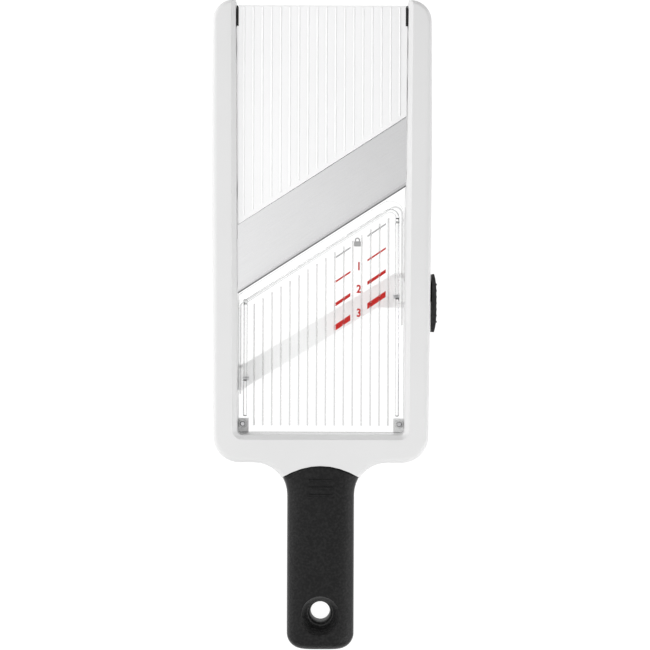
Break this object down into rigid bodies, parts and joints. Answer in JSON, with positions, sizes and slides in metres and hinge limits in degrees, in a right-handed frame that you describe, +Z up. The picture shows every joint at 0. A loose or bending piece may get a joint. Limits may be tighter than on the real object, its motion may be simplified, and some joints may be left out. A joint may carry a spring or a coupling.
{
  "type": "mandoline slicer",
  "caption": "Hand-held slicer: white open frame, slanted steel blade, clear ribbed ramp set by a side grip, ribbed landing plate, black handle with a hanging hole.",
  "frame": {"origin": "middle of the object's footprint, on the surface it lies on", "axes": "+Y runs from the handle to the open far end, +Z is up out of the face the food slides on, +X is the side with the finger grip"},
  "size_m": [0.1305, 0.375, 0.0252],
  "materials": {
    "white_plastic": "satin",
    "black_soft": "matte",
    "plate_plastic": "satin",
    "blade_steel": "brushed",
    "clear_plastic": "clear, polished",
    "bar_plastic": "matte",
    "side_grip_plastic": "matte",
    "spring_steel": "satin",
    "fastener_steel": "satin",
    "foot_rubber": "matte"
  },
  "bodies": {
    "body": {"frame": "white_plastic", "handle_grip": "black_soft", "landing_plate": "plate_plastic", "blade": "blade_steel", "foot_left": "foot_rubber", "foot_right": "foot_rubber", "guide_post_left": "fastener_steel", "guide_post_right": "fastener_steel", "plate_screw_1": "fastener_steel", "plate_screw_2": "fastener_steel", "plate_screw_3": "fastener_steel", "plate_screw_4": "fastener_steel", "blade_screw_1": "fastener_steel", "blade_screw_2": "fastener_steel", "blade_screw_3": "fastener_steel", "blade_screw_4": "fastener_steel"},
    "slider": {"thickness_bar": "bar_plastic", "bar_pin_left": "fastener_steel", "bar_pin_right": "fastener_steel", "side_grip": "side_grip_plastic", "side_grip_screw": "fastener_steel", "detent_spring": "spring_steel"},
    "ramp": {"ramp": "clear_plastic"}
  },
  "joints": [
    {"name": "thickness_slide", "type": "slide", "parent": "body", "child": "slider", "axis": [0, 1, 0], "range_m": [0, 0.0428], "deforming": ["detent_spring"]},
    {"name": "ramp_lift", "type": "slide", "parent": "body", "child": "ramp", "axis": [0, 0, 1], "range_m": [0, 0.0045]}
  ],
  "couplings": [
    {"joint": "ramp_lift", "follows": "thickness_slide", "ratio": 0.10507}
  ]
}
